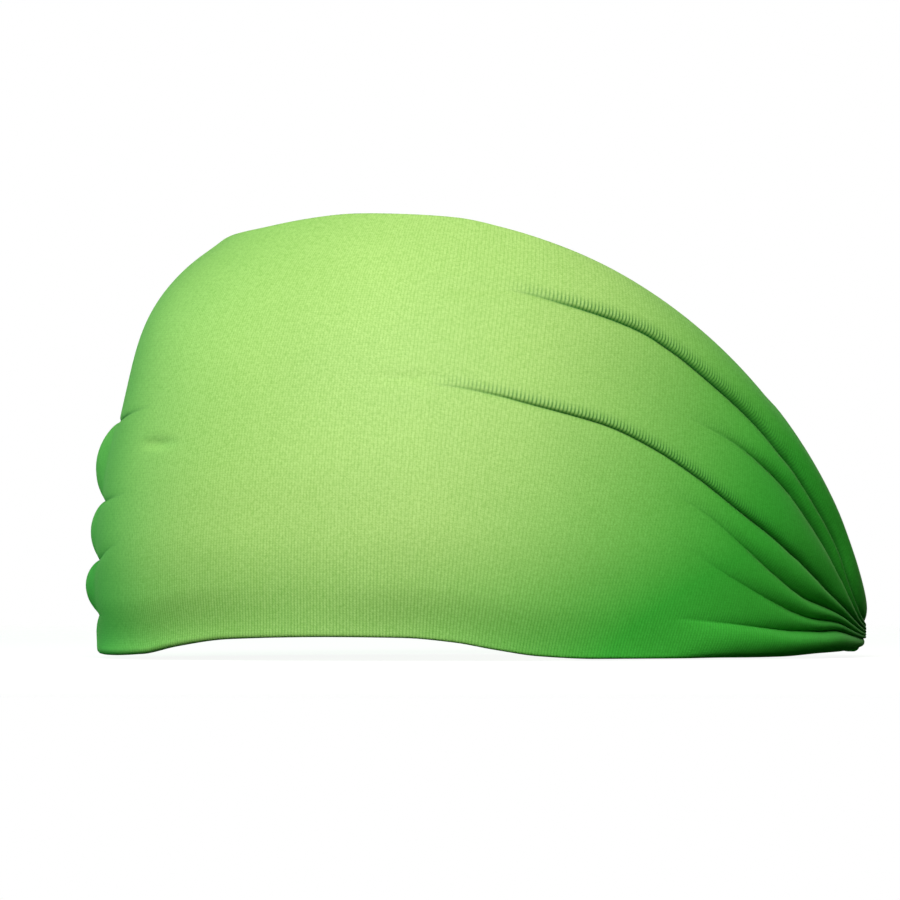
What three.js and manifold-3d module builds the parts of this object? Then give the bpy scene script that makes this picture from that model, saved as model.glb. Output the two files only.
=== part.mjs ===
// A wide stretch-knit sports headband, in the shape it takes on a head. The wide two-ply panel covers
// forehead and crown, tapers along both flanks and is gathered into a narrow bundle at each end. A
// narrow casing with a flat elastic inside joins the two bundles across the nape.
//
// Frame, in millimetres: the origin is the centre of the lower opening, +Z is up, the wearer faces -Y
// and the wearer's left is +X. A place on the band is given by its angle from the front centre,
// positive towards the wearer's left, and by its height.

import * as THREE from "three";
import { LoftGeometry } from "three/addons/geometries/LoftGeometry.js";
import { mergeVertices } from "three/addons/utils/BufferGeometryUtils.js";
import Module from "manifold-3d";

// The head-shaped dome that the outer ply lies on
const HEAD_WIDTH = 161; // across the ears, outside the band
const HEAD_LENGTH = 202; // forehead to nape, outside the band
const CROWN_HEIGHT = 125; // where the dome would close above the lower edge
const DOME_SQUARENESS = 2.4; // exponent of the dome's side profile; 2 is an ellipse

// The wide panel
const SHOULDER_HEIGHT = 110; // highest run of the upper edge, over the wearer's left temple
const FRONT_DIP = 5; // how much lower the upper edge runs at the forehead and on the wearer's right
const DIP_START = -22; // angles between which the upper edge rises to its left side
const DIP_END = 33;
const END_HEIGHT = 12.5; // height of the gathered bundle
const TAPER_SHARPNESS = 2.8; // how late along the flank the upper edge drops
const EDGE_WAVE = 2.6; // rise and fall of the lower edge from forehead to ear
const EDGE_MEAN = 1.4; // height about which the lower edge rises and falls
const OUTER_PLY = 1.1; // thickness of the outer ply, laid flat
const LINING_PLY = 0.9; // thickness of the lining ply, laid flat
const PLY_GAP = 0.4; // clearance between the two plies
const LINING_SETBACK = 1.5; // how far the lining stops short of the turned edges
const GATHER_LENGTH = 70; // length of flank over which the plies thicken into the bundle

// The nape
const CASING_LENGTH = 70; // round the nape, from one gathered end to the other
const CASING_WALL = 1.1;
const ELASTIC_HEIGHT = 10;
const ELASTIC_THICKNESS = 1.6;
const ELASTIC_END_INSET = 2; // the elastic's ends stand this far inside the casing's mouths
const EASE_ABOVE = 0.9; // room in the casing above and below the elastic
const EASE_BESIDE = 0.8; // room in the casing on each face of the elastic
const SEAM_GAP = 0.3; // clearance wherever two sewn pieces meet
const SEAM_FIN = 3; // how far a seam allowance stands in from the casing
const SEAM_WIDTH = 3.2; // width of a seam allowance along the casing
const STITCH_OFFSET = 6; // from the casing's end to the stitch row
const STITCH_WIDTH = 2.4;
const STITCH_THICKNESS = 0.6;

// Fineness of the surfaces
const PANEL_STATIONS = 64;
const PANEL_ROWS = 9;
const LIP_STEPS = 3;
const CASING_STATIONS = 16;
const CORNER_STEPS = 3;

const KNIT_LIME = 0x8fd24c;
const LINING_LIME = 0x86c848;
const THREAD_LIME = 0x9bd860;
const ELASTIC_WHITE = 0xe9ece2;

const DEGREE = Math.PI / 180;
const TEMPLE_ANGLE = 45;
const EAR_ANGLE = 90;
const NAPE_ANGLE = 180;

// What follows from the sizes above
const CASING_HEIGHT = ELASTIC_HEIGHT + 2 * (EASE_ABOVE + CASING_WALL);
const CASING_DEPTH = ELASTIC_THICKNESS + 2 * (EASE_BESIDE + CASING_WALL);
const CASING_LOW = (END_HEIGHT - CASING_HEIGHT) / 2;
const CASING_HIGH = CASING_LOW + CASING_HEIGHT;
const CASING_START = angleAlong(NAPE_ANGLE, -CASING_LENGTH / 2);
const CASING_END = 2 * NAPE_ANGLE - CASING_START;
const END_ANGLE = angleAlong(CASING_START, -SEAM_GAP); // from the front centre to a gathered end
const GATHER_START = angleAlong(END_ANGLE, -GATHER_LENGTH);
const BUNDLE_DEPTH = CASING_DEPTH + SEAM_GAP + SEAM_FIN; // both plies of a gathered end
const GATHERED_SHARE = (BUNDLE_DEPTH - PLY_GAP) / (OUTER_PLY + LINING_PLY);

const wasm = await Module();
wasm.setup();

function smooth(fraction) {
  const t = THREE.MathUtils.clamp(fraction, 0, 1);
  return t * t * (3 - 2 * t);
}

// How far the dome has drawn in at a height, as a share of its girth at the lower edge.
function girthShare(height) {
  if (height <= 0) return 1;
  const share = 1 - (height / CROWN_HEIGHT) ** DOME_SQUARENESS;
  return share ** (1 / DOME_SQUARENESS);
}

// Outward normal of the dome at a place on it.
function domeNormal(place, height) {
  const halfWidth = HEAD_WIDTH / 2;
  const halfLength = HEAD_LENGTH / 2;
  const radius = Math.hypot(place.x / halfWidth, place.y / halfLength);
  const around = radius ** (DOME_SQUARENESS - 2);
  const rise = Math.max(height, 0) / CROWN_HEIGHT;
  return new THREE.Vector3(
    (around * place.x) / halfWidth ** 2,
    (around * place.y) / halfLength ** 2,
    rise ** (DOME_SQUARENESS - 1) / CROWN_HEIGHT,
  ).normalize();
}

// A point at an angle and height, sunk below the dome's surface by a depth.
function onDome(angle, height, depth = 0) {
  const share = girthShare(height);
  const place = new THREE.Vector3(
    (HEAD_WIDTH / 2) * share * Math.sin(angle * DEGREE),
    (-HEAD_LENGTH / 2) * share * Math.cos(angle * DEGREE),
    height,
  );
  return place.addScaledVector(domeNormal(place, height), -depth);
}

// Angle from the front centre that lies a length along the lower edge from another angle.
function angleAlong(angle, length) {
  const step = new THREE.Vector3(
    (HEAD_WIDTH / 2) * Math.cos(angle * DEGREE),
    (HEAD_LENGTH / 2) * Math.sin(angle * DEGREE),
    0,
  );
  return angle + length / (step.length() * DEGREE);
}

// 0 at the front centre, 1 at either gathered end.
function towardsEnd(angle) {
  return Math.min(Math.abs(angle) / END_ANGLE, 1);
}

// The upper edge falls away along each flank, and runs a little lower on the wearer's right.
function upperEdge(angle) {
  const drop = (1 - Math.cos(Math.PI * towardsEnd(angle) ** TAPER_SHARPNESS)) / 2;
  const rise = smooth((angle - DIP_START) / (DIP_END - DIP_START));
  const dip = FRONT_DIP * (1 - rise) * (1 - towardsEnd(angle) ** 2);
  return THREE.MathUtils.lerp(SHOULDER_HEIGHT, END_HEIGHT, drop) - dip;
}

// The lower edge dips at the forehead, rises over each temple, dips at the left ear and levels off.
function lowerEdge(angle) {
  const turn = THREE.MathUtils.clamp(angle, -TEMPLE_ANGLE, EAR_ANGLE);
  const wave = -Math.cos(4 * turn * DEGREE);
  const levelling = smooth((Math.abs(angle) - EAR_ANGLE) / (END_ANGLE - EAR_ANGLE));
  return (EDGE_MEAN + EDGE_WAVE * wave) * (1 - levelling);
}

// 0 along the flat panel, rising to 1 in the gathered bundle.
function gathering(angle) {
  const fraction = (Math.abs(angle) - GATHER_START) / (END_ANGLE - GATHER_START);
  return smooth(fraction) * Math.max(fraction, 0);
}

// A section of one ply: up the outer face, round the upper lip, down the inner face, round the lower.
function plySection(angle, low, high, nearDepth, farDepth) {
  const lip = Math.min((farDepth - nearDepth) / 2, (high - low) / 4);
  const middle = (nearDepth + farDepth) / 2;
  const half = (farDepth - nearDepth) / 2;
  const points = [];
  for (let row = 0; row <= PANEL_ROWS; row++) {
    const height = THREE.MathUtils.lerp(low + lip, high - lip, row / PANEL_ROWS);
    points.push(onDome(angle, height, nearDepth));
  }
  for (let step = 1; step < LIP_STEPS; step++) {
    const turn = (Math.PI * step) / LIP_STEPS;
    const height = high - lip + lip * Math.sin(turn);
    points.push(onDome(angle, height, middle - half * Math.cos(turn)));
  }
  for (let row = PANEL_ROWS; row >= 0; row--) {
    const height = THREE.MathUtils.lerp(low + lip, high - lip, row / PANEL_ROWS);
    points.push(onDome(angle, height, farDepth));
  }
  for (let step = 1; step < LIP_STEPS; step++) {
    const turn = (Math.PI * step) / LIP_STEPS;
    const height = low + lip - lip * Math.sin(turn);
    points.push(onDome(angle, height, middle + half * Math.cos(turn)));
  }
  return points;
}

// A lofted solid with one section for each station between two angles.
function loftBetween(from, to, stations, sectionAt) {
  const sections = [];
  for (let station = 0; station <= stations; station++) {
    const section = sectionAt(THREE.MathUtils.lerp(from, to, station / stations));
    sections.push(section.reverse()); // so that the walls face out
  }
  return new LoftGeometry(sections, { capStart: true, capEnd: true });
}

// How thick a ply is at an angle: both plies swell by the same share in the bundle.
function plyThickness(angle, flatThickness) {
  return flatThickness * THREE.MathUtils.lerp(1, GATHERED_SHARE, gathering(angle));
}

function outerPanel() {
  return loftBetween(-END_ANGLE, END_ANGLE, PANEL_STATIONS, (angle) => {
    const thickness = plyThickness(angle, OUTER_PLY);
    return plySection(angle, lowerEdge(angle), upperEdge(angle), 0, thickness);
  });
}

function liningPanel() {
  return loftBetween(-END_ANGLE, END_ANGLE, PANEL_STATIONS, (angle) => {
    const near = plyThickness(angle, OUTER_PLY) + PLY_GAP;
    const thickness = plyThickness(angle, LINING_PLY);
    const low = lowerEdge(angle) + LINING_SETBACK;
    const high = upperEdge(angle) - LINING_SETBACK;
    return plySection(angle, low, high, near, near + thickness);
  });
}

// A rounded rectangle standing on the dome at an angle, between two heights and two depths.
function bandSection(angle, low, high, nearDepth, farDepth, radius) {
  const corners = [
    [low + radius, nearDepth + radius, 1.5],
    [high - radius, nearDepth + radius, 0],
    [high - radius, farDepth - radius, 0.5],
    [low + radius, farDepth - radius, 1],
  ];
  const points = [];
  for (const [height, depth, quarter] of corners) {
    for (let step = 0; step <= CORNER_STEPS; step++) {
      const turn = Math.PI * (quarter - 0.5 + (0.5 * step) / CORNER_STEPS);
      const up = height + radius * Math.cos(turn);
      const inward = depth + radius * Math.sin(turn);
      points.push(onDome(angle, up, inward));
    }
  }
  return points;
}

function bandSolid(from, to, stations, ...size) {
  return loftBetween(from, to, stations, (angle) => bandSection(angle, ...size));
}

function toSolid(geometry) {
  const bare = geometry.toNonIndexed();
  bare.deleteAttribute("normal");
  bare.deleteAttribute("uv");
  const merged = mergeVertices(bare, 1e-4);
  const mesh = new wasm.Mesh({
    numProp: 3,
    vertProperties: merged.attributes.position.array,
    triVerts: new Uint32Array(merged.index.array),
  });
  return new wasm.Manifold(mesh);
}

function toGeometry(solid) {
  const mesh = solid.getMesh();
  const geometry = new THREE.BufferGeometry();
  geometry.setAttribute("position", new THREE.BufferAttribute(mesh.vertProperties, 3));
  geometry.setIndex(new THREE.BufferAttribute(mesh.triVerts, 1));
  geometry.computeVertexNormals();
  return geometry;
}

// A tube open at both ends: the outside less a core that runs out past the mouths.
function rearCasing() {
  const outside = bandSolid(
    CASING_START, CASING_END, CASING_STATIONS,
    CASING_LOW, CASING_HIGH, 0, CASING_DEPTH, CASING_DEPTH / 3,
  );
  const core = bandSolid(
    CASING_START - 1, CASING_END + 1, CASING_STATIONS,
    CASING_LOW + CASING_WALL, CASING_HIGH - CASING_WALL,
    CASING_WALL, CASING_DEPTH - CASING_WALL, CASING_DEPTH / 3 - CASING_WALL / 2,
  );
  return toGeometry(toSolid(outside).subtract(toSolid(core)));
}

function rearElastic() {
  const start = angleAlong(CASING_START, ELASTIC_END_INSET);
  const middle = (CASING_LOW + CASING_HIGH) / 2;
  const depth = CASING_DEPTH / 2;
  return bandSolid(
    start, 2 * NAPE_ANGLE - start, CASING_STATIONS,
    middle - ELASTIC_HEIGHT / 2, middle + ELASTIC_HEIGHT / 2,
    depth - ELASTIC_THICKNESS / 2, depth + ELASTIC_THICKNESS / 2, ELASTIC_THICKNESS / 4,
  );
}

// A strip across the casing at one end. The right-hand one is the left-hand one's mirror image.
function acrossCasing(side, offset, width, near, far, radius) {
  const start = angleAlong(CASING_START, offset);
  const end = angleAlong(start, width);
  const mirrored = [2 * NAPE_ANGLE - end, 2 * NAPE_ANGLE - start];
  const [from, to] = side === "left" ? [start, end] : mirrored;
  return bandSolid(from, to, 2, CASING_LOW + 1, CASING_HIGH - 1, near, far, radius);
}

function joinSeam(side) {
  const near = CASING_DEPTH + SEAM_GAP;
  return acrossCasing(side, 0, SEAM_WIDTH, near, near + SEAM_FIN, 1);
}

function joinStitch(side) {
  const near = -SEAM_GAP - STITCH_THICKNESS;
  return acrossCasing(side, STITCH_OFFSET, STITCH_WIDTH, near, -SEAM_GAP, STITCH_THICKNESS / 3);
}

function cloth(color, roughness) {
  return new THREE.MeshStandardMaterial({ color, roughness, metalness: 0 });
}

function piece(name, geometry, material) {
  const mesh = new THREE.Mesh(geometry, material);
  mesh.name = name;
  return mesh;
}

const headband = new THREE.Group();
headband.name = "headband";
headband.add(
  piece("outer_panel", outerPanel(), cloth(KNIT_LIME, 0.75)),
  piece("lining_panel", liningPanel(), cloth(LINING_LIME, 0.85)),
  piece("rear_casing", rearCasing(), cloth(KNIT_LIME, 0.75)),
  piece("rear_elastic", rearElastic(), cloth(ELASTIC_WHITE, 0.9)),
);
for (const side of ["left", "right"]) {
  headband.add(
    piece("join_seam_" + side, joinSeam(side), cloth(THREAD_LIME, 0.8)),
    piece("join_stitch_" + side, joinStitch(side), cloth(THREAD_LIME, 0.7)),
  );
}

export default headband;
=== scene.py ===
"""A wide stretch-knit sports headband in the shape it takes on a head: a knit panel with pleated
flanks, its lining, a ruched nape casing, the elastic, overlocked joins and stitch rows, in a plain
pale studio."""

import math
from collections import namedtuple

import bpy
import numpy as np
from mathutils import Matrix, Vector


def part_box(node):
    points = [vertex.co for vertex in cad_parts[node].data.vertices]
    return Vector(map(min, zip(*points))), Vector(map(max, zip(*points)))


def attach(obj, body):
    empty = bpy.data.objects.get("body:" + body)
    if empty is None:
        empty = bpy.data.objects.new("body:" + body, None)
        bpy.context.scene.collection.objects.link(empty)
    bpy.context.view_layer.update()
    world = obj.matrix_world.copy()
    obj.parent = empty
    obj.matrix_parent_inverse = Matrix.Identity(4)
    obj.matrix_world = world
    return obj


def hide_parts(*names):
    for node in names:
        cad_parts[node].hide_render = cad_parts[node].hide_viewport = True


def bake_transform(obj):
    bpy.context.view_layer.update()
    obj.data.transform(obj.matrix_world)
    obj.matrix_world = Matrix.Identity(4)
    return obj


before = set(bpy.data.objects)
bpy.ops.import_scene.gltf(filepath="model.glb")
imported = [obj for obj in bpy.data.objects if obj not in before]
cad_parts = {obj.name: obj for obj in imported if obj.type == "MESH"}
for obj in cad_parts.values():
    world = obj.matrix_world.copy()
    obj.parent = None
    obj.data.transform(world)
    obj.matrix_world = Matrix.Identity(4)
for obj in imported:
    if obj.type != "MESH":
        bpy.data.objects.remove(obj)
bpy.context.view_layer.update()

# Lengths are in millimetres and angles in degrees until a mesh is made. A place on the band is its
# angle from the front centre, positive towards the wearer's left, and its height.
MM = 0.001
PANEL_LOW, PANEL_HIGH = (np.array(corner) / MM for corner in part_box("outer_panel"))
CASING_LOW, CASING_HIGH = (np.array(corner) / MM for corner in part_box("rear_casing"))
HALF_WIDTH = PANEL_HIGH[0]
HALF_LENGTH = -PANEL_LOW[1]
CASING_ANGLE = 180 - math.degrees(math.asin(CASING_HIGH[0] / HALF_WIDTH))
END_LAP = 0.12  # degrees that a gathered end laps over the casing's mouth
END_ANGLE = CASING_ANGLE + END_LAP

# The dome of the frame, which the outer ply lies on
CROWN_HEIGHT = 125
SQUARENESS = 2.4

# The panel's edges
EDGE_HEIGHT = 110
FRONT_DIP = 5  # lower at the front and on the far side: askew between the two angles
DIP_START = -22
DIP_END = 33
END_HEIGHT = 12.5
TAPER_SHARPNESS = 2.8
# Height of the lower edge at angles
LOWER_EDGE = [
    (-155, 1.2), (-140, 1.2), (-118, 3.2), (-95, 3.8), (-72, 3.6), (-50, 2.2), (-30, 0.9),
    (-12, 0.5), (2, 0.9), (12, 2.8), (24, 4.5), (40, 4.9), (54, 4.6), (62, 3.4), (68, 1.6),
    (75, -0.1), (84, -0.8), (110, -0.8), (118, -0.7), (130, -0.1), (138, 0.2), (146, 0.7),
    (155, 1.4),
]
# How far below the frame's plain edge line the upper edge lies, at angles
EDGE_TRIM = [
    (-155, 0), (-60, 1), (-24, 2.4), (-12, 1.9), (0, 1.9), (15, 1.4), (40, 0.7), (60, 0.7),
    (72, 1.4), (82, 1.7), (98, 1.2), (108, 0.7), (119, 0.4), (122, -0.7), (130, -1.2), (143, -0.6),
    (155, 0),
]

# The plies
OUTER_PLY = 1.35
LINING_PLY = 0.9
PLY_GAP = 0.35
LINING_SETBACK = 1.5
SWELLING = 3.4  # how much deeper a ply is in a gathered end than laid flat
SWELLING_START = 96
SWELLING_END = 148

# Fineness of the cloth
COLUMNS = 260
ROWS_PER_ROLL = 24
LINING_COLUMNS = 200
LINING_ROWS_PER_ROLL = 9
COLUMN_DRAW = 0.06  # how much closer together columns are towards the gathered ends
ROW_DRAW = 0.88  # how strongly rows draw together at a full crease
LIP_STEPS = 6
LIP_REACH = 1.5

# The yarn's deep and light colours, and the deeper greens painted on as shade, in linear light
FRONT_LIME = (0.265, 0.52, 0.1), (0.46, 0.74, 0.215)
# painted shade: a deeper green that stands in for the shade on the flanks and at the foot
PAINTED_SHADE_LIME = (0.03, 0.44, 0.02), (0.07, 0.6, 0.06)
# painted shade: the dark green that stands in for the shadow in a crease
PAINTED_CREASE_SHADE = (0.004, 0.16, 0.012)
LINING_LIME = (0.22, 0.5, 0.07), (0.38, 0.68, 0.15)

PALE_MIDDLE = 50  # along the band from the front centre, where the key light falls most and the least shade is painted
FLANK_SPAN = 18, 112  # from there, where the painted shade of the flanks begins and is full
FOOT_SPAN = 30  # up from the lower edge, over which the painted shade at the foot fades out
WALE = 0.84  # from one knit rib to the next
COURSE = 0.6  # from one row of loops to the next
LOOP_LEAN = 1.1  # rows that a loop's leg climbs for each rib it crosses
FIBRE_SCALE = 2300  # noise scales, for coordinates in metres
HEATHER_SCALE = 1300
DYE_SCALE = 22
CORD_PITCH = 0.8  # of the elastic's cords and weft
WEFT_PITCH = 0.45
RIB_LEAN = 0.35  # millimetres along for each one up
LEAN_START = 40
LEAN_REACH = 70

# A crease runs along the band between two soft rolls. Its path is a share of the band's height at
# each angle, and its strength is read at angles too. The roll above it rises in a ridge and hangs
# down over it, by these lengths at full strength. Soft makes it wider and its line fainter.
Crease = namedtuple("Crease", "path strength ridge hang soft")
CREASES = [
    Crease(  # above the lowest roll
        path=[
            (-155, 0.38), (-138, 0.2), (-110, 0.1), (-25, 0.08), (87, 0.1), (106, 0.094),
            (117, 0.09), (127, 0.1), (135, 0.13), (145, 0.12), (155, 0.13),
        ],
        strength=[
            (-155, 1), (-60, 0.7), (-32, 0.6), (-20, 0), (94, 0), (108, 0.3), (122, 0.6), (136, 1),
        ],
        ridge=0.3,
        hang=0.2,
        soft=1.4,
    ),
    Crease(  # soft valley low on the flank
        path=[
            (-155, 0.46), (-135, 0.27), (-110, 0.22), (-25, 0.215), (0, 0.27), (80, 0.31),
            (96, 0.3), (106, 0.235), (117, 0.18), (125, 0.155), (135, 0.18), (145, 0.165),
            (155, 0.18),
        ],
        strength=[
            (-155, 1), (-60, 0.9), (-28, 0.8), (-16, 0.6), (-9, 0.2), (-2, 0), (94, 0), (110, 0.4),
            (122, 0.7), (134, 1),
        ],
        ridge=0.6,
        hang=0.3,
        soft=3.0,
    ),
    Crease(  # broad valley below the main fold
        path=[
            (-155, 0.54), (-135, 0.4), (-110, 0.37), (-25, 0.36), (5, 0.39), (45, 0.44), (80, 0.46),
            (94, 0.44), (102, 0.4), (109, 0.342), (117, 0.282), (125, 0.238), (135, 0.24),
            (145, 0.215), (155, 0.23),
        ],
        strength=[
            (-155, 1), (-60, 1), (-28, 0.9), (-16, 0.7), (-9, 0.2), (0, 0), (94, 0), (106, 0.4),
            (116, 0.9), (124, 1),
        ],
        ridge=1.0,
        hang=0.5,
        soft=2.2,
    ),
    Crease(  # the main fold
        path=[
            (-155, 0.62), (-135, 0.54), (-110, 0.53), (-60, 0.54), (-25, 0.555), (5, 0.59),
            (50, 0.606), (68, 0.597), (76, 0.587), (85.5, 0.572), (94, 0.538), (101.5, 0.495),
            (109.5, 0.445), (117.5, 0.412), (126, 0.365), (135, 0.315), (145, 0.27), (155, 0.28),
        ],
        strength=[
            (-155, 1), (-60, 1), (-28, 0.9), (-16, 0.7), (-9, 0.2), (0, 0), (56, 0), (65, 0.35),
            (76, 0.8), (88, 1),
        ],
        ridge=1.25,
        hang=0.8,
        soft=1.0,
    ),
    Crease(  # short fold between the two long ones
        path=[
            (-155, 0.71), (-135, 0.7), (-110, 0.7), (-25, 0.74), (30, 0.74), (60, 0.735),
            (90, 0.69), (104, 0.662), (111, 0.667), (118, 0.667), (124, 0.635), (130, 0.59),
            (137, 0.47), (145, 0.34), (155, 0.33),
        ],
        strength=[(-155, 1), (-110, 0.9), (-85, 0), (100, 0), (108, 0.25), (118, 0.8), (130, 1)],
        ridge=1.2,
        hang=0.7,
        soft=1.3,
    ),
    Crease(  # the upper fold
        path=[
            (-155, 0.8), (-135, 0.82), (-110, 0.85), (-60, 0.87), (0, 0.87), (60, 0.86),
            (75, 0.855), (85, 0.852), (95, 0.853), (101, 0.842), (108, 0.822), (115, 0.812),
            (121, 0.782), (127, 0.745), (134, 0.7), (139, 0.56), (145, 0.43), (155, 0.39),
        ],
        strength=[(-155, 1), (-85, 0.9), (-50, 0), (70, 0), (77, 0.35), (86, 0.85), (96, 1)],
        ridge=1.15,
        hang=0.75,
        soft=1.0,
    ),
]
# How far each roll between two creases puffs out at angles, from the lowest roll to the uppermost
PUFFS = [
    [
        (-155, 1.5), (-60, 2), (-42, 2), (-33, 1.6), (-24, 0.3), (-12, 0), (94, 0), (106, 1.6),
        (125, 2.2), (145, 1.6), (155, 0.8),
    ],
    [
        (-155, 1.5), (-70, 4.5), (-42, 5.6), (-33, 4.2), (-24, 0.6), (-10, 0), (100, 0), (120, 0.8),
        (140, 1.4), (150, 1.8), (155, 1),
    ],
    [
        (-155, 1.5), (-70, 4.5), (-42, 5), (-33, 3.4), (-24, 0.6), (-10, 0), (98, 0), (118, 1),
        (140, 1.5), (150, 1.8), (155, 1),
    ],
    [
        (-155, 1.5), (-70, 5), (-42, 6), (-33, 4.6), (-24, 0.6), (-10, 0), (98, 0), (118, 1),
        (140, 1.5), (150, 1.8), (155, 1),
    ],
    [
        (-155, 1.5), (-110, 1.6), (-70, 0.6), (-35, 0), (100, 0), (118, 1), (140, 1.5), (150, 1.8),
        (155, 1),
    ],
    [(-155, 1.5), (-110, 1.6), (-70, 0), (104, 0), (120, 1), (140, 1.4), (150, 1.7), (155, 1)],
    [
        (-155, 1.5), (-110, 1.4), (-60, 0), (72, 0), (95, 1), (130, 1.8), (145, 1.6), (152, 1.3),
        (155, 0.8),
    ],
]
# Shallow hollows, or swellings where the depth is negative. Along is in degrees.
Dent = namedtuple("Dent", "angle height along up depth")
DENTS = [
    Dent(4, 52, 4.5, 1.1, 0.9),
    Dent(30, 33, 22, 7, 0.4),
    Dent(-28, 84, 45, 17, -3.35),
    Dent(54, 68.5, 7, 1.4, 0.4),
    Dent(66, 90.5, 7, 1.4, 0.4),
    Dent(-25, 103, 14, 6, 0.9),
]
FLARE = 1.8  # how far the lower edge turns out at the front
FLARE_REACH = 5
FLARE_MIDDLE = -20
FLARE_SPREAD = 45
# How far the foot of the cloth draws in at angles: sharply at the hem, and gently above it
HEM_TUCK = [
    (-155, 0), (-110, 0), (-80, 1.6), (-30, 1), (-12, 1.5), (8, 1.7), (20, 1.3), (30, 0.6),
    (38, 0.3), (46, 0.9), (56, 1.5), (70, 1.3), (84, 0.7), (100, 0.3), (120, 0), (155, 0),
]
FOOT_TUCK = [(-155, 0), (-110, 0), (-20, 1.4), (80, 2), (120, 0), (155, 0)]
HEM_TUCK_HEIGHT = 13
FOOT_TUCK_HEIGHT = 30

# Relief of the pleats. Towards a gathered end the cloth swells, and creases grow by the lengths
# named GATHERED; close to the end the relief settles.
SETTLING = 6  # degrees from the end
SETTLED_SHARE = 0.12  # of the relief, left at the end itself
RIDGE_EASING = 15  # degrees from the end within which ridges fade
NEAR_FOLDS = 25  # the rolls fold over their creases beyond these two angles
FAR_FOLDS = -70
FOLDS_REACH = 30
BROAD_ROLL = 5  # a roll this wide is a full pillow; a narrower one is flatter
RIDGED_ROLL = 6  # a roll this wide carries a full ridge
PILLOW_SHARPNESS = 0.6
CREASE_DEPTH = 0.65
CREASE_WIDTH = 0.4
GATHERED_DEPTH = 2.38
GATHERED_WIDTH = 1.3
FINE_ROLL = 1  # a crease beside a roll this narrow has no depth,
DEEP_ROLL = 5  # and beside rolls this wide its full depth
SHOULDER = 1.5  # from the crease up to the top of the ridge
RIDGE_FALL = 8.5  # over which the ridge falls away again above
LINE_ABOVE = 0.35  # reach of the painted dark line of crease shade on each side of the crease
LINE_BELOW = 0.3
GATHERED_LINE = 0.4
COMB_MIDDLE = 1.3  # from the crease to the strip where the rib grooves are painted darker as shade
COMB_REACH = 1.1

# The lining's pleats on the side of the head
LINING_FLANK = 60  # the angle where they begin
LINING_FLANK_REACH = 40
LINING_FAINTNESS = 0.25  # how strong they are on the flank, where 1 is in the gathered bundle
LINING_CREASE = 0.6  # thickness added at a crease, and the further thickness added on a roll
LINING_ROLL = 1.9


# ---- Curves and the dome ----

def through(points, at):
    """A smooth curve through (place, value) points that never passes beyond their values."""
    place, value = np.array(points, float).T
    step = np.diff(place)
    rise = np.diff(value) / step
    product = np.maximum(rise[:-1] * rise[1:], 0)
    total = np.where(product > 0, rise[:-1] + rise[1:], 1)
    slope = np.concatenate(([0], 2 * product / total, [0]))
    i = np.clip(np.searchsorted(place, at) - 1, 0, len(place) - 2)
    t = np.clip((at - place[i]) / step[i], 0, 1)
    start = value[i] * (1 + 2 * t) * (1 - t) ** 2 + slope[i] * step[i] * t * (1 - t) ** 2
    end = value[i + 1] * t * t * (3 - 2 * t) - slope[i + 1] * step[i] * t * t * (1 - t)
    return start + end


def smooth(fraction):
    t = np.clip(fraction, 0, 1)
    return t * t * (3 - 2 * t)


def girth_share(height):
    rise = np.clip(height / CROWN_HEIGHT, 0, 0.999)
    return (1 - rise**SQUARENESS) ** (1 / SQUARENESS)


def dome(angle, height):
    """Points of the dome and its outward normals."""
    turn = np.radians(angle)
    x = HALF_WIDTH * girth_share(height) * np.sin(turn)
    y = -HALF_LENGTH * girth_share(height) * np.cos(turn)
    radius = np.hypot(x / HALF_WIDTH, y / HALF_LENGTH)
    around = radius ** (SQUARENESS - 2)
    rise = np.clip(height / CROWN_HEIGHT, 0, 1)
    normal = np.stack(
        [
            around * x / HALF_WIDTH**2,
            around * y / HALF_LENGTH**2,
            rise ** (SQUARENESS - 1) / CROWN_HEIGHT,
        ],
        axis=-1,
    )
    normal /= np.linalg.norm(normal, axis=-1, keepdims=True)
    return np.stack([x, y, height + 0 * x], axis=-1), normal


def tuck(angle, height):
    """How far the foot of the cloth draws in towards the head."""
    above_hem = height - lower_edge(angle)
    sharp = through(HEM_TUCK, angle) * (1 - smooth(above_hem / HEM_TUCK_HEIGHT))
    return sharp + through(FOOT_TUCK, angle) * (1 - smooth(above_hem / FOOT_TUCK_HEIGHT))


def off_dome(angle, height, proud):
    """Points that stand proud of the worn shape, or sunk in it where proud is negative."""
    place, normal = dome(angle, height)
    return place + normal * (proud - tuck(angle, height))[..., None]


def girth_length(angle):
    """Length along the dome's foot from the front centre."""
    fine = np.radians(np.linspace(-210, 210, 4201))
    pace = np.hypot(HALF_WIDTH * np.cos(fine), HALF_LENGTH * np.sin(fine))
    length = np.cumsum(pace) * (fine[1] - fine[0])
    length -= np.interp(0, fine, length)
    return np.interp(np.radians(angle), fine, length)


def upper_edge(angle):
    towards_end = np.minimum(np.abs(angle) / END_ANGLE, 1)
    drop = (1 - np.cos(np.pi * towards_end**TAPER_SHARPNESS)) / 2
    rise = smooth((angle - DIP_START) / (DIP_END - DIP_START))
    dip = FRONT_DIP * (1 - rise) * (1 - towards_end**2)
    return EDGE_HEIGHT + (END_HEIGHT - EDGE_HEIGHT) * drop - dip - through(EDGE_TRIM, angle)


def lower_edge(angle):
    return through(LOWER_EDGE, angle)


def swelling(angle):
    """0 along the flat panel, 1 in the gathered bundle."""
    return smooth((np.abs(angle) - SWELLING_START) / (SWELLING_END - SWELLING_START))


# ---- The pleated cloth surface ----

def column_angles(count):
    """Angles from one gathered end to the other, closer together towards the ends."""
    t = np.linspace(-1, 1, count)
    return END_ANGLE * (t + COLUMN_DRAW * np.sin(np.pi * t))


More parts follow.
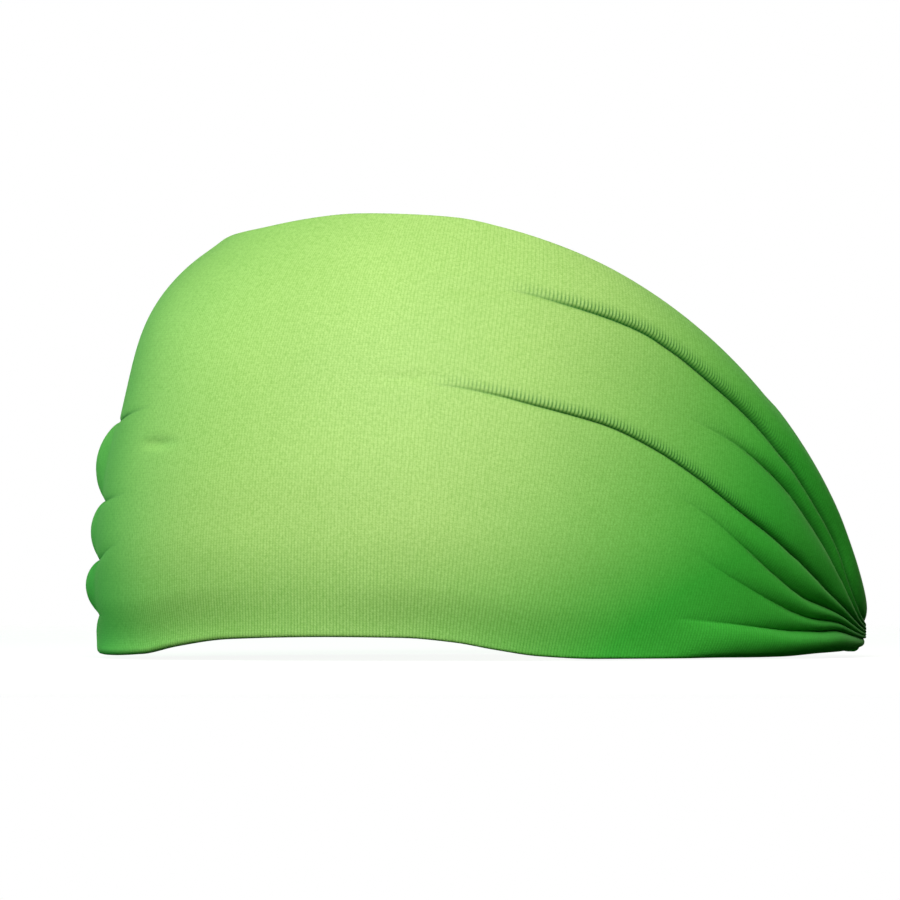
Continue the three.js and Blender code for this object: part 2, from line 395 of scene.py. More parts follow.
def row_places(rows_per_roll, creasing):
    """The roll each row is on, and the fraction across it at each angle. Rows draw together at a
    crease where there is one: creasing has a column for each guide line, from the lowest up."""
    even = np.arange(rows_per_roll) / rows_per_roll
    drawn = ROW_DRAW * np.sin(2 * np.pi * even) / (2 * np.pi)
    rolls = np.arange(len(CREASES) + 1)
    lower = even < 0.5
    sides = [np.where(lower, creasing[:, [roll]], creasing[:, [roll + 1]]) for roll in rolls]
    across = np.concatenate([even - side * drawn for side in sides], axis=1)
    roll = np.append(np.repeat(rolls, rows_per_roll), rolls[-1])
    return roll, np.append(across, np.ones((len(across), 1)), axis=1)


def guide_creasing(angle):
    """How creased the cloth is at each guide line, from 0 to 1. The two edges are not."""
    strengths = [np.minimum(through(crease.strength, angle), 1) for crease in CREASES]
    return np.stack([0 * angle, *strengths, 0 * angle], axis=-1) ** 0.5


def guide_heights(angle):
    """Heights of the lower edge, each crease and the upper edge, one column for each."""
    low, high = lower_edge(angle), upper_edge(angle)
    shares = [0 * angle, *(through(crease.path, angle) for crease in CREASES), 0 * angle + 1]
    return np.stack([low + (high - low) * share for share in shares], axis=-1)


def pleated(angle, rows_per_roll):
    """The cloth's outer face as a grid: heights, how far it stands proud, how far it hangs, and its
    fold map: how near a point is to a crease, and to the ribbed strip that turns under above it,
    both of which the knit material darkens as painted shade."""
    roll, across = row_places(rows_per_roll, guide_creasing(angle))
    guides = guide_heights(angle)
    below, above = guides[:, roll], guides[:, roll + 1]
    height = below + (above - below) * across
    slope = np.gradient(height, girth_length(angle), axis=0)
    room = (above - below) / np.sqrt(1 + slope**2)
    from_below, from_above = across * room, (1 - across) * room
    swell = swelling(angle)[:, None]
    to_end = (END_ANGLE - np.abs(angle))[:, None]
    settled = SETTLED_SHARE + (1 - SETTLED_SHARE) * smooth(to_end / SETTLING)
    near_side = smooth((angle - NEAR_FOLDS) / FOLDS_REACH)
    far_side = smooth((FAR_FOLDS - angle) / FOLDS_REACH)
    folded_over = (near_side + far_side)[:, None]

    pillow = np.sin(np.pi * across) ** PILLOW_SHARPNESS
    broad = np.clip(room / BROAD_ROLL, 0, 1)
    puff = np.stack([through(path, angle) for path in PUFFS], axis=-1)[:, roll]
    proud = settled * puff * (broad * pillow + 0.8 * (1 - broad))
    hang, crease_shade, comb_shade = 0 * proud, 0 * proud, 0 * proud
    wide = np.clip(room / RIDGED_ROLL, 0, 1)
    ridged = (0.6 + 0.55 * swell) * wide * smooth(to_end / RIDGE_EASING)
    for number, crease in enumerate(CREASES, start=1):
        on_top = roll == number
        above_crease = np.where(on_top, from_below, np.inf)
        below_crease = np.where(roll == number - 1, from_above, np.inf)
        strength = through(crease.strength, angle)[:, None] * settled
        line, under, over = guides[:, number], guides[:, number - 1], guides[:, number + 1]
        narrower = np.minimum(line - under, over - line)
        depth = strength * (CREASE_DEPTH + GATHERED_DEPTH * swell)
        depth *= np.clip((narrower - FINE_ROLL) / (DEEP_ROLL - FINE_ROLL), 0, 1)[:, None]
        width = np.minimum((CREASE_WIDTH + GATHERED_WIDTH * swell) * crease.soft, 0.25 * room)
        proud -= depth * (np.exp(-above_crease / width) + np.exp(-below_crease / width))

        shoulder = np.minimum(SHOULDER * crease.soft, 0.4 * room)
        rising = np.clip(from_below / shoulder, 0, 1)
        fall = np.minimum(RIDGE_FALL, 0.6 * room)
        fading = np.clip(from_below - shoulder, 0, None) / fall
        ridge = np.sqrt(1 - (1 - rising) ** 2) * np.exp(-(fading**2))
        fullness = on_top * strength * folded_over * ridged
        proud += fullness * crease.ridge * ridge
        overhang = np.exp(-(((from_below - 0.9 * shoulder) / (0.75 * shoulder)) ** 2))
        hang += fullness * crease.hang * overhang

        # Masks for painted shade: a dark line along the crease, and darker rib grooves on the strip
        # that turns under above it
        sharp = np.minimum(strength, 1) ** 0.7 / crease.soft
        dark = np.exp(-above_crease / (LINE_ABOVE + GATHERED_LINE * swell))
        dark += np.exp(-below_crease / (LINE_BELOW + GATHERED_LINE * swell))
        crease_shade = np.maximum(crease_shade, sharp * dark)
        strip = on_top * np.exp(-(((from_below - COMB_MIDDLE) / COMB_REACH) ** 2))
        comb_shade = np.maximum(comb_shade, sharp * strip * folded_over * (1 - swell) ** 1.5)

    for dent in DENTS:
        along = (angle[:, None] - dent.angle) / dent.along
        up = (height - dent.height) / dent.up
        proud -= dent.depth * np.exp(-(along**2 + up**2))
    above_hem = height - lower_edge(angle)[:, None]
    front = np.exp(-(((angle[:, None] - FLARE_MIDDLE) / FLARE_SPREAD) ** 2))
    proud += FLARE * front * np.exp(-above_hem / FLARE_REACH)
    return height, proud, hang, np.stack([crease_shade, comb_shade], axis=-1)


def knit_map(angle, points, height):
    """Where each point lies in the knit, in millimetres: along the band and across it. The ribs
    lean on the flanks, where the gathered ends pull them across the folds."""
    lean = np.sign(angle) * RIB_LEAN * smooth((np.abs(angle) - LEAN_START) / LEAN_REACH)
    along = girth_length(angle)[:, None] - lean[:, None] * height
    paces = np.linalg.norm(np.diff(points, axis=1), axis=-1)
    across = np.concatenate([np.zeros((len(points), 1)), np.cumsum(paces, axis=1)], axis=1)
    return np.stack([along, across], axis=-1)


# ---- Meshes ----

def mesh_piece(name, vertices, faces, maps=None):
    """An object from points in millimetres. Each UV map has one pair for each vertex."""
    mesh = bpy.data.meshes.new(name)
    mesh.from_pydata((np.asarray(vertices) * MM).tolist(), [], faces)
    mesh.polygons.foreach_set("use_smooth", [True] * len(mesh.polygons))
    corners = np.empty(len(mesh.loops), np.int32)
    mesh.loops.foreach_get("vertex_index", corners)
    for title, uvs in (maps or {}).items():
        layer = mesh.uv_layers.new(name=title)
        layer.data.foreach_set("uv", uvs.reshape(-1, 2)[corners].astype(np.float32).ravel())
    mesh.update()
    piece = bpy.data.objects.new(name, mesh)
    bpy.context.collection.objects.link(piece)
    return piece


def lip(near, far, onward, reach):
    """Points of a rounded lip from near to far edge, one row for each step between them."""
    middle, half = (near + far) / 2, (near - far) / 2
    rows = []
    for step in range(1, LIP_STEPS):
        turn = math.pi * step / LIP_STEPS
        rows.append(middle + half * math.cos(turn) + onward * reach[:, None] * math.sin(turn))
    return np.stack(rows, axis=1)


def directions(vectors):
    return vectors / np.linalg.norm(vectors, axis=-1, keepdims=True)


def ply_solid(name, outer, inner, knit, fold):
    """A closed ply between two grids of points, with rounded lips along both edges."""
    thickness = np.linalg.norm(outer - inner, axis=-1)
    up = directions(outer[:, -1] - outer[:, -3])
    down = directions(outer[:, 0] - outer[:, 2])
    reach = np.minimum(thickness / 2, LIP_REACH)
    top = lip(outer[:, -1], inner[:, -1], up, reach[:, -1])
    foot = lip(inner[:, 0], outer[:, 0], down, reach[:, 0])
    rings = np.concatenate([outer, top, inner[:, ::-1], foot], axis=1)
    maps = {"knit": round_ring(knit), "fold": round_ring(fold)}
    columns, around = rings.shape[:2]
    faces = ring_faces(columns, around)
    rows = outer.shape[1]
    for column, turned in ((0, False), (columns - 1, True)):
        faces += cap_faces(column * around, rows, around, turned)
    return mesh_piece(name, rings.reshape(-1, 3), faces, maps)


def round_ring(values):
    """Values on a ply's grid, carried round its upper lip, its other face and its lower lip."""
    top = np.repeat(values[:, -1:], LIP_STEPS - 1, axis=1)
    foot = np.repeat(values[:, :1], LIP_STEPS - 1, axis=1)
    return np.concatenate([values, top, values[:, ::-1], foot], axis=1)


def ring_faces(columns, around):
    """Quads that join each closed ring of points to the next."""
    column, place = np.meshgrid(np.arange(columns - 1), np.arange(around), indexing="ij")
    following = (place + 1) % around
    here, there = column * around, (column + 1) * around
    quads = np.stack([here + place, there + place, there + following, here + following], axis=-1)
    return quads.reshape(-1, 4).tolist()


def cap_faces(first, rows, around, turned):
    """Closes an end ring: quads between its two faces, and one face over each lip."""
    faces = []
    far = lambda row: first + rows + (LIP_STEPS - 1) + (rows - 1 - row)
    for row in range(rows - 1):
        faces.append([first + row, first + row + 1, far(row + 1), far(row)])
    faces.append([first + rows - 1 + step for step in range(LIP_STEPS + 1)])
    start = first + 2 * rows + LIP_STEPS - 2
    faces.append([start + step for step in range(LIP_STEPS)] + [first])
    return [face[::-1] for face in faces] if turned else faces


def outer_panel():
    angle = column_angles(COLUMNS)
    height, proud, hang, fold = pleated(angle, ROWS_PER_ROLL)
    outer = off_dome(angle[:, None], height - hang, proud)
    depth = -(OUTER_PLY + SWELLING * swelling(angle))[:, None] + 0 * height
    inner = off_dome(angle[:, None], height, depth)
    return ply_solid("outer_ply", outer, inner, knit_map(angle, outer, height), fold)


def lining_panel():
    """The inner ply: smooth on the side of the outer ply, pleated on the side of the head."""
    angle = column_angles(LINING_COLUMNS)
    roll, across = row_places(LINING_ROWS_PER_ROLL, 0.7 * guide_creasing(angle))
    guides = guide_heights(angle)
    guides[:, 0] += LINING_SETBACK
    guides[:, -1] -= LINING_SETBACK
    height = guides[:, roll] + (guides[:, roll + 1] - guides[:, roll]) * across
    swell = swelling(angle)[:, None]
    near = -(OUTER_PLY + PLY_GAP + SWELLING * swell) + 0 * height
    flank = smooth((np.abs(angle)[:, None] - LINING_FLANK) / LINING_FLANK_REACH)
    strength = np.maximum(swell, LINING_FAINTNESS * flank)
    pleat = strength * (LINING_CREASE + LINING_ROLL * np.sin(np.pi * across) ** 0.8)
    outer = off_dome(angle[:, None], height, near)
    inner = off_dome(angle[:, None], height, near - LINING_PLY - pleat)
    # painted shade in the lining's creases, through the same crease mask
    fold = strength * (1 - np.sin(np.pi * across)) ** 2
    fold = np.stack([fold, 0 * fold], axis=-1)
    return ply_solid("lining_ply", outer, inner, knit_map(angle, inner, height), fold)


# ---- The nape ----

CASING_MIDDLE = (CASING_LOW[2] + CASING_HIGH[2]) / 2
CASING_HEIGHT = CASING_HIGH[2] - CASING_LOW[2]
CASING_DEPTH = 5.4
CASING_WALL = 1.1
ELASTIC_HEIGHT = 10
ELASTIC_THICKNESS = 1.6
ELASTIC_INSET = 1.6  # degrees from the casing's mouth to the elastic's end
SECTION_FLATNESS = 0.45  # powers of a rounded section's height and depth: an ellipse has 1
SECTION_FULLNESS = 0.6
GATHER_HEIGHT = 1.0  # room left in the casing's height and depth for its gathers
GATHER_DEPTH = 0.9
CASING_FULLNESS = 1.5  # millimetres of knit drawn into each millimetre of the casing
CASING_GRID = 240, 56  # rings, and points round each
ELASTIC_GRID = 260, 40
ELASTIC_RIB = 0.09
ELASTIC_RIB_PITCH = 1.5

THREAD = 0.2  # radius of the sewing thread
STITCH_START = 4.3  # degrees from the casing's mouth to the stitch row
STITCH_REACH = 1.6
STITCH_SPAN = 0.88  # share of the casing's height that a stitch row crosses
STITCH_POINTS = 160
STITCH_ZIGZAGS = 7
STITCH_HOPS = 6.5
ROW_SPREAD = 0.625  # of the reach, from the zigzag's middle to each straight row
SEAM_DEPTH = 3.0
SEAM_GAP = 0.3  # from the casing to the seam allowance
SEAM_START = 0.15  # degrees from the casing's mouth to the allowance's fold and raw edge
SEAM_END = 2.3
SEAM_GRID = 9, 32
SEAM_SETBACK = 3.0  # how much less high the allowance is than the casing
WRAP_SETBACK = 4.2
WRAP_MIDDLE = 1.22
WRAP_REACH = 1.2
WRAP_POINTS = 420
WRAP_TURNS = 10


def rounded_section(turn, height, depth):
    """Height and depth from the middle of a flat rounded section, at turns round it."""
    up = np.sign(np.cos(turn)) * np.abs(np.cos(turn)) ** SECTION_FLATNESS * height / 2
    out = np.sign(np.sin(turn)) * np.abs(np.sin(turn)) ** SECTION_FULLNESS * depth / 2
    return up, out


def ruching(angle, turn):
    """Uneven small gathers that the elastic draws into the casing, strongest at its two edges."""
    along = np.radians(angle)
    edge = 0.45 + 0.55 * np.abs(np.cos(turn))
    wander = 0.35 * np.sin(9 * along + 1.3) + 0.6 * np.cos(turn) * np.sin(17 * along)
    coarse = np.sin(92 * along + 3 * wander + 1.1 * np.sin(turn))
    fine = np.sin(171 * along + 2.1 * np.cos(turn) + 4 * wander)
    fade = smooth((np.minimum(angle - CASING_ANGLE, 360 - CASING_ANGLE - angle) + 0.5) / 2.5)
    return edge * (0.34 * coarse + 0.14 * fine) * fade


def ring_turns(count):
    """Turns round a section, as a row that broadcasts against a column of angles."""
    return np.linspace(0, 2 * np.pi, count, endpoint=False)[None, :]


def nape_points(angle, up, out):
    """Points at a height and depth from the middle of the casing."""
    return off_dome(angle, CASING_MIDDLE + up + 0 * angle, out + 0 * angle - CASING_DEPTH / 2)


def casing_point(angle, turn, grow=0.0):
    """Points on the ruched casing, or grown off it by a distance."""
    up, out = rounded_section(turn, CASING_HEIGHT - GATHER_HEIGHT, CASING_DEPTH - GATHER_DEPTH)
    bump = ruching(angle, turn) + grow
    return nape_points(angle, up + bump * np.cos(turn), out + bump * np.sin(turn))


def tube_solid(name, outer, inner, knit):
    """A tube with a wall, open at both ends, from two grids of rings of the same size."""
    columns, around = outer.shape[:2]
    vertices = np.concatenate([outer.reshape(-1, 3), inner.reshape(-1, 3)])
    faces = ring_faces(columns, around)
    shift = columns * around
    faces += [[shift + corner for corner in reversed(face)] for face in faces]
    for column, turned in ((0, False), (columns - 1, True)):
        for place in range(around):
            a, b = column * around + place, column * around + (place + 1) % around
            face = [a, b, shift + b, shift + a]
            faces.append(face[::-1] if turned else face)
    return mesh_piece(name, vertices, faces, {"knit": np.concatenate([knit, knit])})


def rear_casing():
    rings, around = CASING_GRID
    angle = np.linspace(CASING_ANGLE, 360 - CASING_ANGLE, rings)[:, None]
    turn = ring_turns(around)
    up, out = rounded_section(turn, CASING_HEIGHT - 2 * CASING_WALL, CASING_DEPTH - 2 * CASING_WALL)
    along = girth_length(angle) * CASING_FULLNESS + 0 * turn
    across = turn / (2 * np.pi) * 2 * (CASING_HEIGHT + CASING_DEPTH) + 0 * angle
    knit = np.stack([along, across], axis=-1)
    return tube_solid("nape_casing", casing_point(angle, turn), nape_points(angle, up, out), knit)


def capped_rings(name, rings, knit=None):
    """A closed solid through rings of points, with a flat face at each end."""
    columns, around = rings.shape[:2]
    last = (columns - 1) * around
    faces = ring_faces(columns, around)
    faces.append(list(range(around)))
    faces.append([last + place for place in reversed(range(around))])
    maps = None if knit is None else {"knit": knit}
    return mesh_piece(name, rings.reshape(-1, 3), faces, maps)


def rear_elastic():
    """Flat tape with the fine cross ribs of woven elastic."""
    start = CASING_ANGLE + ELASTIC_INSET
    rings, around = ELASTIC_GRID
    angle = np.linspace(start, 360 - start, rings)[:, None]
    turn = ring_turns(around)
    up, out = rounded_section(turn, ELASTIC_HEIGHT, ELASTIC_THICKNESS)
    rib = ELASTIC_RIB * np.sin(girth_length(angle) * 2 * np.pi / ELASTIC_RIB_PITCH)
    along = girth_length(angle) + 0 * turn
    knit = np.stack([along, CASING_MIDDLE + up + 0 * angle], axis=-1)
    return capped_rings("elastic_tape", nape_points(angle, up, out + rib * np.sin(turn)), knit)


def end_angle(side, inset):
    """Angle at an inset from the casing's mouth on one side."""
    return CASING_ANGLE + inset if side == "left" else 360 - CASING_ANGLE - inset


def thread(name, points):
    """A sewing thread along points in millimetres, as a mesh."""
    curve = bpy.data.curves.new(name, "CURVE")
    curve.dimensions = "3D"
    curve.bevel_depth = THREAD * MM
    curve.bevel_resolution = 2
    curve.use_fill_caps = True
    spline = curve.splines.new("POLY")
    spline.points.add(len(points) - 1)
    spline.points.foreach_set("co", np.c_[points * MM, np.ones(len(points))].ravel())
    drawn = bpy.data.objects.new(name, curve)
    bpy.context.collection.objects.link(drawn)
    bpy.context.view_layer.update()
    evaluated = drawn.evaluated_get(bpy.context.evaluated_depsgraph_get())
    mesh = bpy.data.meshes.new_from_object(evaluated)
    bpy.data.objects.remove(drawn)
    bpy.data.curves.remove(curve)
    piece = bpy.data.objects.new(name, mesh)
    bpy.context.collection.objects.link(piece)
    return piece


def join_stitch(side):
    """A flat zigzag row across the casing, with a straight row on each side of it."""
    climb = np.linspace(0, 1, STITCH_POINTS)
    level = STITCH_SPAN * (1 - 2 * climb)
    turn = np.arccos(np.sign(level) * np.abs(level) ** (1 / SECTION_FLATNESS))
    middle = end_angle(side, STITCH_START)
    swing = np.arcsin(np.sin(climb * 2 * np.pi * STITCH_ZIGZAGS)) / (np.pi / 2)
    dip = 0.12 * np.abs(swing) ** 6
    rows = [casing_point(middle + 0.5 * STITCH_REACH * swing, turn, THREAD * 0.8 - dip)]
    wave = np.sin(climb * 2 * np.pi * STITCH_HOPS)
    hop = 0.16 * np.sign(wave) * np.abs(wave) ** 0.3
    for edge in (-ROW_SPREAD, ROW_SPREAD):
        rows.append(casing_point(middle + edge * STITCH_REACH + 0 * turn, turn, hop))
    pieces = [thread(f"join_stitch_{side}_{number}", row) for number, row in enumerate(rows)]
    return joined(f"flat_stitch_{side}", pieces)


def joined(name, pieces):
    """One object from several."""
    with bpy.context.temp_override(active_object=pieces[0], selected_editable_objects=pieces):
        bpy.ops.object.join()
    pieces[0].name = name
    return pieces[0]


def join_seam(side):
    """The seam allowance stands in from the casing's mouth, its raw edge wrapped in thread."""
    rings, around = SEAM_GRID
    inset = np.linspace(SEAM_START, SEAM_END, rings)
    angle = np.array([end_angle(side, step) for step in inset])[:, None]
    if side == "right":
        angle = angle[::-1]
    turn = ring_turns(around)
    inwards = -(CASING_DEPTH / 2 + SEAM_GAP + SEAM_DEPTH / 2)
    up, out = rounded_section(turn, CASING_HEIGHT - SEAM_SETBACK, SEAM_DEPTH - 2 * THREAD)
    fin = capped_rings(f"seam_edge_{side}", nape_points(angle, up, out + inwards))

    climb = np.linspace(0, 1, WRAP_POINTS)
    wrap = 2 * np.pi * WRAP_TURNS * climb
    level = (climb - 0.5) * (CASING_HEIGHT - WRAP_SETBACK)
    across = end_angle(side, WRAP_MIDDLE) + WRAP_REACH * np.clip(1.25 * np.sin(wrap), -1, 1)
    swing = (SEAM_DEPTH / 2 - THREAD * 0.4) * np.clip(1.3 * np.cos(wrap), -1, 1)
    wrapped = thread(f"overlock_{side}", nape_points(across, level, inwards + swing))
    return fin, wrapped


# ---- Materials ----

class Tree:
    """A material's node tree round one Principled shader. Where a value is asked for, it may be a
    number or another node's output."""

    def __init__(self, name):
        self.material = bpy.data.materials.new(name)
        self.material.use_nodes = True
        self.nodes, self.links = self.material.node_tree.nodes, self.material.node_tree.links
        self.nodes.clear()
        self.shader = self.nodes.new("ShaderNodeBsdfPrincipled")
        output = self.nodes.new("ShaderNodeOutputMaterial")
        self.links.new(self.shader.outputs[0], output.inputs[0])

    def feed(self, socket, value):
        if isinstance(value, (int, float, tuple)):
            socket.default_value = value
        else:
            self.links.new(value, socket)

    def shade(self, name, value):
        """Sets an input of the shader."""
        self.feed(self.shader.inputs[name], value)

    def math(self, operation, *values):
        node = self.nodes.new("ShaderNodeMath")
        node.operation = operation
        for socket, value in zip(node.inputs, values):
            self.feed(socket, value)
        return node.outputs[0]

    def wave(self, operation, turns):
        """The sine or cosine of a number of turns."""
        return self.math(operation, self.math("MULTIPLY", turns, 2 * math.pi))

    def place(self):
        return self.nodes.new("ShaderNodeTexCoord").outputs["Object"]

    def uv_axes(self, title):
        """The two coordinates of a UV map."""
        uv = self.nodes.new("ShaderNodeUVMap")
        uv.uv_map = title
        split = self.nodes.new("ShaderNodeSeparateXYZ")
        self.links.new(uv.outputs[0], split.inputs[0])
        return split.outputs[0], split.outputs[1]

    def ramp(self, factor, *stops):
        """A colour ramp of (place, colour) stops."""
        node = self.nodes.new("ShaderNodeValToRGB")
        elements = node.color_ramp.elements
        while len(elements) < len(stops):
            elements.new(0.5)
        for element, (place, color) in zip(elements, stops):
            element.position = place
            element.color = (*color, 1)
        self.feed(node.inputs[0], factor)
        return node.outputs[0]

    def noise(self, scale, detail):
        node = self.nodes.new("ShaderNodeTexNoise")
        node.inputs["Scale"].default_value = scale
        node.inputs["Detail"].default_value = detail
        self.feed(node.inputs["Vector"], self.place())
        return node.outputs["Fac"]

    def mix(self, kind, factor, a, b):
        node = self.nodes.new("ShaderNodeMix")
        node.data_type = "RGBA"
        node.blend_type = kind
        for place, value in ((0, factor), (6, a), (7, b)):
            self.feed(node.inputs[place], value)
        return node.outputs[2]

    def map_range(self, value, start, end, low, high, kind="SMOOTHSTEP"):
        node = self.nodes.new("ShaderNodeMapRange")
        node.interpolation_type = kind
        ends = {"From Min": start, "From Max": end, "To Min": low, "To Max": high}
        for name, number in ends.items():
            node.inputs[name].default_value = number
        self.feed(node.inputs["Value"], value)
        return node.outputs[0]

    def bump(self, height, strength, distance):
        """Relief on the shader's surface, its full height given in millimetres."""
        node = self.nodes.new("ShaderNodeBump")
        node.inputs["Strength"].default_value = strength
        node.inputs["Distance"].default_value = distance * MM
        self.feed(node.inputs["Height"], height)
        self.shade("Normal", node.outputs[0])


def knit_material(name, lit_colors, painted_shade_colors, relief, sheen):
    """Fine jersey: ribs of V-shaped loops, uneven dye and a soft bloom of surface fibres, with
    shade painted into its colour. The two pairs of colours are each a deep and a light colour: the
    first is the yarn's own, kept where the key light falls near the front, and the second a deeper
    green painted on as shade on the flanks and at the foot. Creases and the rib grooves above them
    are painted darker as shade too."""
    tree = Tree(name)
    knit_along, knit_across = tree.uv_axes("knit")
    crease_shade, comb_shade = tree.uv_axes("fold")

    # The loops' height
    rib = tree.math("MULTIPLY", knit_along, 1 / WALE)
    leg = tree.math("PINGPONG", rib, 0.5)
    leaning = tree.math("MULTIPLY", leg, LOOP_LEAN)
    loop = tree.wave("SINE", tree.math("MULTIPLY_ADD", knit_across, 1 / COURSE, leaning))
    crown = tree.wave("SINE", leg)
    groove = tree.math("MULTIPLY_ADD", tree.wave("COSINE", rib), 0.5, 0.5)
    yarn = tree.math("MULTIPLY_ADD", loop, 0.08, tree.math("MULTIPLY", crown, 0.2))
    yarn = tree.math("MULTIPLY_ADD", groove, -0.2, yarn)
    fibre = tree.noise(FIBRE_SCALE, 3)
    cloth = tree.math("MULTIPLY_ADD", fibre, 0.8, yarn)

    # How much painted shade the colour takes: little at the lit front, a deeper green on the flanks
    # and at the foot, where shade falls
    from_pale = tree.math("ABSOLUTE", tree.math("SUBTRACT", knit_along, PALE_MIDDLE))
    flankward = tree.math("MULTIPLY_ADD", knit_across, -0.4, from_pale)
    flank = tree.map_range(flankward, *FLANK_SPAN, 0, 1)
    foot = tree.map_range(knit_across, 0, FOOT_SPAN, 1, 0)
    painted_shade_share = tree.math("MINIMUM", tree.math("MULTIPLY_ADD", foot, 0.2, flank), 1.0)
    pale = tree.ramp(cloth, (0.0, lit_colors[0]), (0.8, lit_colors[1]))
    painted_shade_ramp = tree.ramp(cloth, (0.0, painted_shade_colors[0]), (0.8, painted_shade_colors[1]))
    color = tree.mix("MIX", painted_shade_share, pale, painted_shade_ramp)

    # Painted shade: dark creases, and darker grooves between the ribs above them and at the foot
    ribbed = tree.math("MULTIPLY_ADD", foot, 0.26, comb_shade)
    shaded = tree.math("MULTIPLY", ribbed, tree.math("POWER", groove, 1.6))
    shaded = tree.math("MULTIPLY_ADD", shaded, 0.85, crease_shade)
    shaded = tree.math("MINIMUM", shaded, 1.0)
    color = tree.mix("MIX", shaded, color, (*PAINTED_CREASE_SHADE, 1))

    # Uneven dye and heather
    dye = tree.noise(DYE_SCALE, 3)
    blotch = tree.ramp(dye, (0.3, (0.9, 0.93, 0.9)), (0.7, (1, 1, 1)))
    heather = tree.ramp(tree.noise(HEATHER_SCALE, 5), (0.3, (0.78, 0.87, 0.7)), (0.62, (1, 1, 1)))
    color = tree.mix("MULTIPLY", 1.0, color, blotch)
    tree.shade("Base Color", tree.mix("MULTIPLY", 0.9, color, heather))

    worn = tree.math("MULTIPLY_ADD", dye, 0.18, 0.5)
    tree.shade("Roughness", tree.math("MULTIPLY_ADD", fibre, 0.12, worn))
    tree.bump(cloth, relief, 0.12)
    tree.shade("Sheen Weight", sheen)
    tree.shade("Sheen Roughness", 0.3)
    tree.shade("Sheen Tint", (0.75, 1, 0.55, 1))
    tree.shade("Specular IOR Level", 0.35)
    return tree.material


def thread_material(name, deep, light):
    """Twisted sewing thread."""
    tree = Tree(name)
    wave = tree.nodes.new("ShaderNodeTexWave")
    wave.bands_direction = "DIAGONAL"
    wave.inputs["Scale"].default_value = 900
    wave.inputs["Distortion"].default_value = 1.5
    tree.feed(wave.inputs["Vector"], tree.place())
    twist = wave.outputs["Fac"]
    tree.shade("Base Color", tree.ramp(twist, (0.1, deep), (0.8, light)))
    tree.shade("Roughness", tree.math("MULTIPLY_ADD", tree.noise(1800, 2), 0.25, 0.4))
    tree.bump(twist, 0.5, 0.06)
    tree.shade("Sheen Weight", 0.2)
    return tree.material


def elastic_material(name):
    """Woven elastic: covered rubber cords lengthwise, crossed by a fine weft."""
    tree = Tree(name)
    along, across = tree.uv_axes("knit")
    cord = tree.wave("SINE", tree.math("MULTIPLY", across, 1 / CORD_PITCH))
    weft = tree.wave("SINE", tree.math("MULTIPLY", along, 1 / WEFT_PITCH))
    weave = tree.math("MULTIPLY_ADD", tree.math("MULTIPLY", cord, weft), 0.5, 0.5)
    tree.shade("Base Color", tree.ramp(weave, (0, (0.62, 0.63, 0.58)), (1, (0.86, 0.87, 0.82))))
    tree.shade("Roughness", tree.math("MULTIPLY_ADD", tree.noise(1500, 3), 0.2, 0.65))
    tree.bump(weave, 0.6, 0.1)
    return tree.material


# ---- Assembly ----


def dress(piece, material):
    piece.data.materials.clear()
    piece.data.materials.append(material)


def build_band():
    outer_knit = knit_material("knit_lime", FRONT_LIME, PAINTED_SHADE_LIME, 0.4, 0.12)
    lining_knit = knit_material("knit_lime_inside", LINING_LIME, PAINTED_SHADE_LIME, 0.45, 0.12)
    seam_thread = thread_material("overlock_thread", (0.06, 0.4, 0.03), (0.16, 0.62, 0.09))
    stitch_thread = thread_material("stitch_thread", (0.09, 0.46, 0.04), (0.24, 0.7, 0.12))
    tape = elastic_material("woven_elastic")

    outer = outer_panel()
    dress(outer, outer_knit)
    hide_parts("outer_panel")
    lining = lining_panel()
    dress(lining, lining_knit)
    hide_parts("lining_panel")

    casing = rear_casing()
    dress(casing, outer_knit)
    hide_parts("rear_casing")
    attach(casing, "nape")
    elastic = rear_elastic()
    dress(elastic, tape)
    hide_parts("rear_elastic")
    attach(elastic, "nape")

    for side in ("left", "right"):
        stitch = join_stitch(side)
        dress(stitch, stitch_thread)
        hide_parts(f"join_stitch_{side}")
        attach(stitch, "nape")
        fin, wrapped = join_seam(side)
        dress(fin, seam_thread)
        dress(wrapped, seam_thread)
        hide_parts(f"join_seam_{side}")
        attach(fin, "nape")
        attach(wrapped, "nape")

    for ply in (outer, lining):
        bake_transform(ply)


def from_target(target, azimuth, elevation, distance):
    turn, tilt = math.radians(azimuth), math.radians(elevation)
    side, front = math.sin(turn) * math.cos(tilt), -math.cos(turn) * math.cos(tilt)
    return np.array(target) + np.array([side, front, math.sin(tilt)]) * distance


def add_aimed(name, data, target, azimuth, elevation, distance):
    """An object that looks at a target from an angle round it."""
    holder = bpy.data.objects.new(name, data)
    bpy.context.collection.objects.link(holder)
    holder.location = from_target(target, azimuth, elevation, distance)
    towards = Vector(target) - holder.location
    holder.rotation_euler = towards.to_track_quat("-Z", "Y").to_euler()
    return holder


def area_light(name, azimuth, elevation, distance, size, power, color):
    """A square soft light, aimed at the middle of the band."""
    lamp = bpy.data.lights.new(name, "AREA")
    lamp.size = size
    lamp.energy = power
    lamp.color = color
    holder = add_aimed(name, lamp, LIGHT_TARGET, azimuth, elevation, distance)
    holder.visible_camera = False


CAMERA_AZIMUTH = 60
CAMERA_ELEVATION = 0.3
CAMERA_DISTANCE = 8.0
VIEW_WIDTH = 0.2257  # width of the frame at the band
SENSOR = 36
TARGET = (-0.0036, -0.0063, 0.0501)
LIGHT_TARGET = (0, 0, 0.05)
FLOOR_REACH = 0.8
FLOOR_SIDES = 96
FLOOR_DROP = 0.8  # millimetres below the band


def add_camera():
    camera = bpy.data.cameras.new("camera")
    camera.sensor_width = SENSOR
    camera.lens = SENSOR * CAMERA_DISTANCE / VIEW_WIDTH
    camera.clip_end = 20
    angles = CAMERA_AZIMUTH, CAMERA_ELEVATION
    bpy.context.scene.camera = add_aimed("camera", camera, TARGET, *angles, CAMERA_DISTANCE)


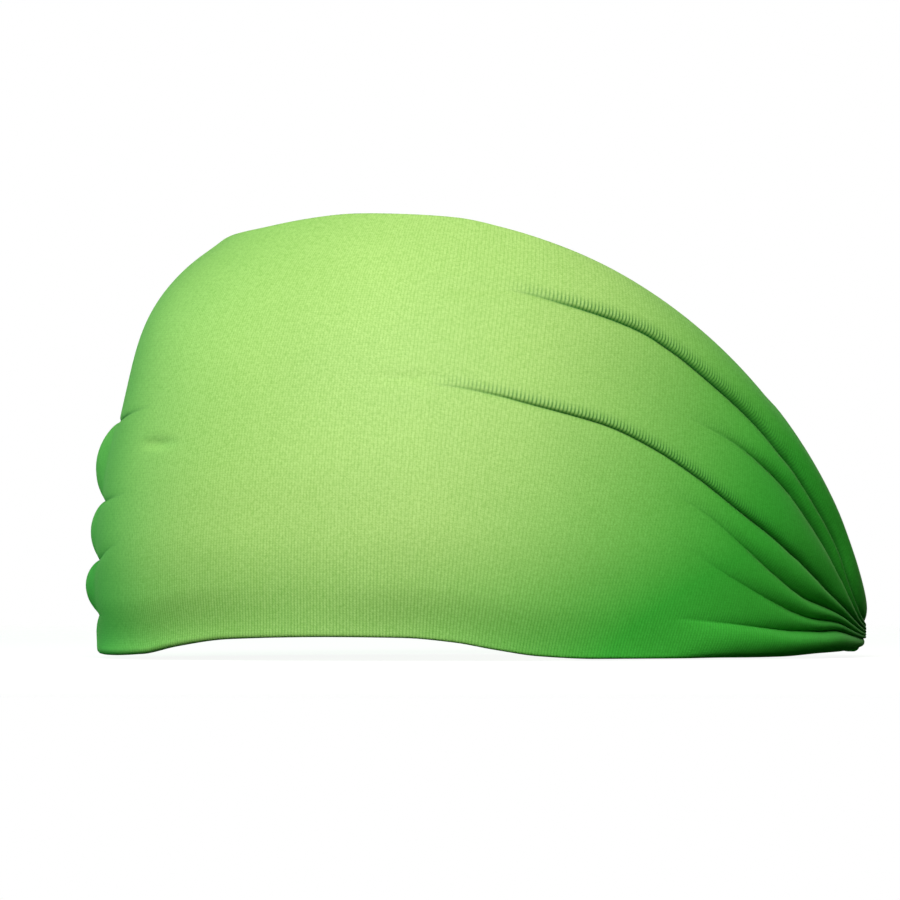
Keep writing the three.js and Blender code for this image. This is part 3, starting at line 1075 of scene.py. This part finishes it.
def add_floor():
    """A pale round floor, soft at its rim, that fades into the white room."""
    level = (PANEL_LOW[2] - FLOOR_DROP) * MM
    turns = [2 * math.pi * step / FLOOR_SIDES for step in range(FLOOR_SIDES)]
    rim = [(FLOOR_REACH * math.cos(turn), FLOOR_REACH * math.sin(turn), level) for turn in turns]
    mesh = bpy.data.meshes.new("floor")
    mesh.from_pydata(rim, [], [list(range(FLOOR_SIDES))])
    floor = bpy.data.objects.new("floor", mesh)
    bpy.context.collection.objects.link(floor)
    floor.visible_diffuse = False
    floor.visible_glossy = False
    floor.visible_shadow = False
    tree = Tree("pale_floor")
    paper = tree.ramp(tree.noise(40, 3), (0, (0.2, 0.2, 0.2)), (1, (0.24, 0.24, 0.24)))
    tree.shade("Base Color", paper)
    tree.shade("Roughness", 0.9)
    tree.shade("Specular IOR Level", 0)
    tree.shade("Emission Color", (1, 1, 1, 1))
    tree.shade("Emission Strength", 0.9)
    length = tree.nodes.new("ShaderNodeVectorMath")
    length.operation = "LENGTH"
    tree.feed(length.inputs[0], tree.place())
    outwards = length.outputs["Value"]
    tree.shade("Alpha", tree.map_range(outwards, 0.5 * FLOOR_REACH, FLOOR_REACH, 1, 0, "LINEAR"))
    mesh.materials.append(tree.material)


def add_studio():
    add_floor()
    area_light("key", 53, 33, 0.62, 0.42, 5.1, (1.0, 0.88, 0.95))
    area_light("fill", 95, 20, 1.6, 1.6, 1.4, (0.3, 1.0, 0.4))
    area_light("left_fill", -50, 18, 1.8, 1.6, 18.0, (0.22, 1.0, 0.5))
    area_light("low_fill", 60, -32, 1.2, 1.2, 1.0, (0.4, 1.0, 0.35))
    area_light("back_fill", 205, 38, 1.8, 1.6, 10.0, (0.7, 1.0, 0.62))
    world = bpy.data.worlds.new("studio")
    world.use_nodes = True
    background = world.node_tree.nodes["Background"]
    background.inputs[0].default_value = (1, 1, 1, 1)
    background.inputs[1].default_value = 1.0
    world.cycles_visibility.diffuse = False
    world.cycles_visibility.glossy = False
    bpy.context.scene.world = world
    bpy.context.scene.view_settings.view_transform = "Standard"


add_camera()
add_studio()
build_band()
